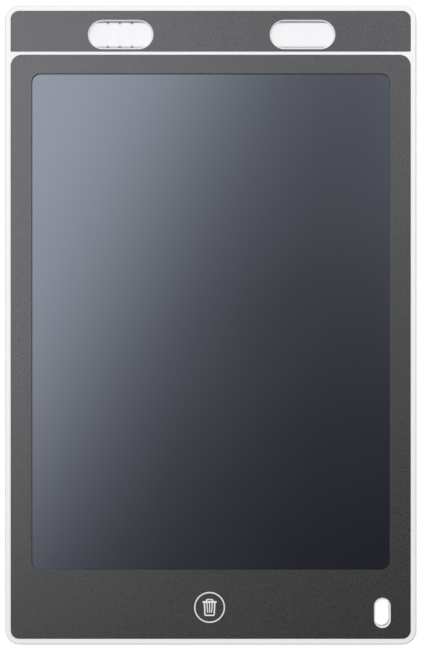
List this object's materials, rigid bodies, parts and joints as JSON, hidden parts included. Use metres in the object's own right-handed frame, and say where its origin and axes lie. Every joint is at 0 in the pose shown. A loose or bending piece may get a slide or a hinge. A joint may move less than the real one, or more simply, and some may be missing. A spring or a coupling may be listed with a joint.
{
  "type": "lcd writing tablet",
  "caption": "Thin white two-shell tablet with a blank dark writing screen, a round erase button, a flat stylus stored across the top behind oval windows, and a lanyard slot.",
  "frame": {"origin": "centre of the rear face, on the surface that the tablet lies on", "axes": "+Z out of the screen, +Y along the tablet towards the stylus, +X towards the side that the stylus leaves by"},
  "size_m": [0.1448, 0.225, 0.0065],
  "materials": {
    "case_white": "white moulded ABS, fine satin texture",
    "printed_film": "dark grey printed polycarbonate film, semi-gloss",
    "lcd_sheet": "glossy blank liquid-crystal writing sheet",
    "black_plastic": "black moulded plastic or tape",
    "flex_amber": "amber polyimide flat cable",
    "white_ink": "screen-printed white ink",
    "ivory_plastic": "ivory nylon",
    "board_green": "green solder mask on glass-fibre board",
    "ferrite": "sintered ferrite",
    "ceramic_tan": "fired ceramic",
    "gasket_blue": "polypropylene gasket",
    "plated_steel": "nickel-plated steel",
    "contact_brass": "spring brass",
    "nib_white": "hard white acetal"
  },
  "bodies": {
    "case": {"rear_case": "case_white", "front_frame": "case_white", "main_film": "printed_film", "strip_film": "printed_film", "screen_tape": "black_plastic", "writing_screen": "lcd_sheet", "backing_plate": "black_plastic", "screen_flex": "flex_amber", "tact_switch_housing": "black_plastic", "circuit_board": "board_green", "board_screws": "plated_steel", "flex_connector": "ivory_plastic", "driver_chip": "black_plastic", "boost_inductor": "ferrite", "chip_capacitors": "ceramic_tan", "lock_switch_housing": "plated_steel", "positive_contact": "contact_brass", "negative_contact": "contact_brass"},
    "stylus": {"stylus_barrel": "case_white", "stylus_nib": "nib_white", "stylus_tail_plug": "case_white"},
    "erase_button": {"button_cap": "case_white", "button_inlay": "printed_film", "button_icon": "white_ink", "tact_switch_plunger": "ivory_plastic"},
    "erase_lock": {"lock_knob": "case_white", "lock_switch_lever": "black_plastic"},
    "door": {"battery_door": "case_white"},
    "door_screw": {"battery_door_screw": "plated_steel"},
    "coin_cell": {"coin_cell_can": "plated_steel", "coin_cell_gasket": "gasket_blue", "coin_cell_cap": "plated_steel", "coin_cell_core": "black_plastic"}
  },
  "joints": [
    {"name": "stylus_slide", "type": "slide", "parent": "case", "child": "stylus", "axis": [1, 0, 0], "range_m": [0, 0.14]},
    {"name": "erase_press", "type": "slide", "parent": "case", "child": "erase_button", "axis": [0, 0, -1], "range_m": [0, 0.0003], "stiffness_N_per_m": 2000, "springref_m": -0.0005},
    {"name": "lock_slide", "type": "slide", "parent": "case", "child": "erase_lock", "axis": [1, 0, 0], "range_m": [0, 0.002]},
    {"name": "door_swing", "type": "hinge", "parent": "case", "child": "door", "pos_m": [-0.0235, -0.095, 0.0006], "axis": [0, -1, 0], "range_deg": [0, 75]},
    {"name": "screw_turn", "type": "hinge", "parent": "door", "child": "door_screw", "pos_m": [-0.0505, -0.095, 0], "axis": [0, 0, -1], "continuous": true},
    {"name": "cell_lift", "type": "slide", "parent": "case", "child": "coin_cell", "axis": [0, 0, -1], "range_m": [0, 0.0032]}
  ],
  "couplings": [
    {"joint": "cell_lift", "follows": "door_swing", "m_per_rad": 0.0024}
  ]
}
